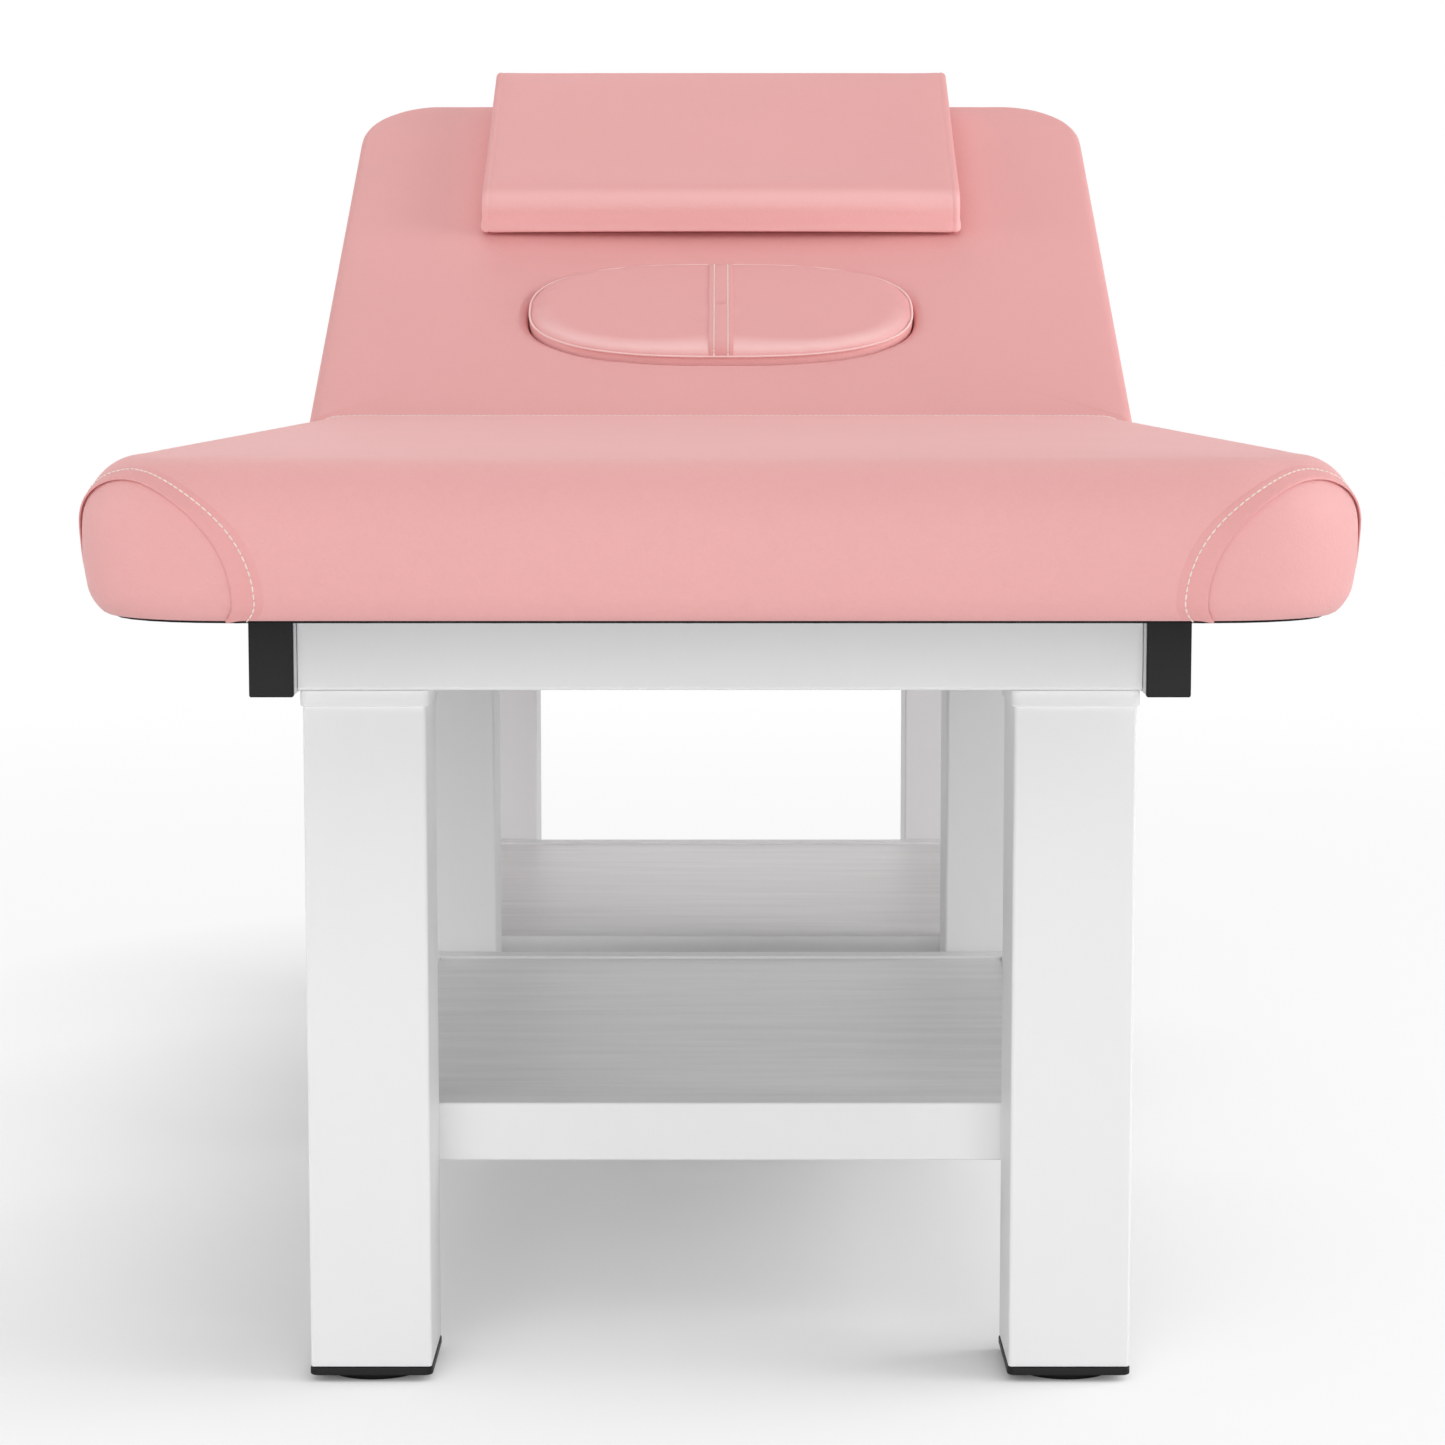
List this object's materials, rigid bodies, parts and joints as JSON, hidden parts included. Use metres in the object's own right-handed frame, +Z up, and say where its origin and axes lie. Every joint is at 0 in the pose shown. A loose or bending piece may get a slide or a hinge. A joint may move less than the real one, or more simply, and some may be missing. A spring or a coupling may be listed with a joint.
{
  "type": "eyelash extension bed",
  "caption": "Padded treatment bed with tilting backrest, plugged face hole and loose pillow, on a square-legged steel frame with shelves.",
  "frame": {"origin": "on the floor, under the middle of the bed's length and width, with the backrest as pictured", "axes": "+Z up, +Y from the foot end to the head end, X across the bed, the backrest's axis along +X"},
  "size_m": [0.7, 1.7142, 0.8631],
  "materials": {
    "white_paint": "satin",
    "black_plastic": "matte",
    "black_rubber": "matte",
    "shelf_metal": "satin",
    "black_board": "matte",
    "pink_leather": "satin",
    "hinge_steel": "satin"
  },
  "bodies": {
    "bed_frame": {"leg_front_left": "white_paint", "collar_front_left": "white_paint", "foot_plug_front_left": "black_plastic", "leg_front_right": "white_paint", "collar_front_right": "white_paint", "foot_plug_front_right": "black_plastic", "leg_middle_left": "white_paint", "collar_middle_left": "white_paint", "foot_plug_middle_left": "black_plastic", "leg_middle_right": "white_paint", "collar_middle_right": "white_paint", "foot_plug_middle_right": "black_plastic", "leg_rear_left": "white_paint", "collar_rear_left": "white_paint", "foot_plug_rear_left": "black_plastic", "leg_rear_right": "white_paint", "collar_rear_right": "white_paint", "foot_plug_rear_right": "black_plastic", "side_rail_left": "white_paint", "rail_cap_front_left": "black_plastic", "rail_cap_rear_left": "black_plastic", "side_rail_right": "white_paint", "rail_cap_front_right": "black_plastic", "rail_cap_rear_right": "black_plastic", "crossbeam_front": "white_paint", "crossbeam_middle": "white_paint", "crossbeam_hinge": "white_paint", "crossbeam_rear": "white_paint", "front_shelf_tube_front": "white_paint", "front_shelf_tube_rear": "white_paint", "front_shelf_tube_left": "white_paint", "front_shelf_tube_right": "white_paint", "front_shelf_panel": "shelf_metal", "rear_shelf_tube_front": "white_paint", "rear_shelf_tube_rear": "white_paint", "rear_shelf_tube_left": "white_paint", "rear_shelf_tube_right": "white_paint", "rear_shelf_panel": "shelf_metal", "seat_board": "black_board", "seat_cushion": "pink_leather", "hinge_base_left": "hinge_steel", "hinge_pin_left": "hinge_steel", "hinge_base_right": "hinge_steel", "hinge_pin_right": "hinge_steel"},
    "backrest": {"backrest_board": "black_board", "backrest_cushion": "pink_leather", "hinge_arm_left": "hinge_steel", "hinge_arm_right": "hinge_steel"},
    "face_plug": {"face_plug": "pink_leather"},
    "pillow": {"pillow": "pink_leather"},
    "levelling_foot_front_left": {"levelling_foot_front_left": "black_rubber"},
    "levelling_foot_front_right": {"levelling_foot_front_right": "black_rubber"},
    "levelling_foot_middle_left": {"levelling_foot_middle_left": "black_rubber"},
    "levelling_foot_middle_right": {"levelling_foot_middle_right": "black_rubber"},
    "levelling_foot_rear_left": {"levelling_foot_rear_left": "black_rubber"},
    "levelling_foot_rear_right": {"levelling_foot_rear_right": "black_rubber"}
  },
  "joints": [
    {"name": "backrest_hinge", "type": "hinge", "parent": "bed_frame", "child": "backrest", "pos_m": [0, 0.31528, 0.448], "axis": [1, 0, 0], "range_deg": [-29.1, 30.9]},
    {"name": "face_plug_lift", "type": "slide", "parent": "backrest", "child": "face_plug", "axis": [0, -0.4863, 0.8738], "range_m": [0, 0.15]},
    {"name": "pillow_lift", "type": "slide", "parent": "backrest", "child": "pillow", "axis": [0, -0.4863, 0.8738], "range_m": [0, 0.25]},
    {"name": "levelling_foot_front_left_turn", "type": "hinge", "parent": "bed_frame", "child": "levelling_foot_front_left", "pos_m": [-0.2021, -0.67722, 0.0039], "axis": [0, 0, 1], "continuous": true},
    {"name": "levelling_foot_front_right_turn", "type": "hinge", "parent": "bed_frame", "child": "levelling_foot_front_right", "pos_m": [0.2021, -0.67722, 0.0039], "axis": [0, 0, 1], "continuous": true},
    {"name": "levelling_foot_middle_left_turn", "type": "hinge", "parent": "bed_frame", "child": "levelling_foot_middle_left", "pos_m": [-0.2021, -0.07872, 0.0039], "axis": [0, 0, 1], "continuous": true},
    {"name": "levelling_foot_middle_right_turn", "type": "hinge", "parent": "bed_frame", "child": "levelling_foot_middle_right", "pos_m": [0.2021, -0.07872, 0.0039], "axis": [0, 0, 1], "continuous": true},
    {"name": "levelling_foot_rear_left_turn", "type": "hinge", "parent": "bed_frame", "child": "levelling_foot_rear_left", "pos_m": [-0.2021, 0.51978, 0.0039], "axis": [0, 0, 1], "continuous": true},
    {"name": "levelling_foot_rear_right_turn", "type": "hinge", "parent": "bed_frame", "child": "levelling_foot_rear_right", "pos_m": [0.2021, 0.51978, 0.0039], "axis": [0, 0, 1], "continuous": true}
  ]
}
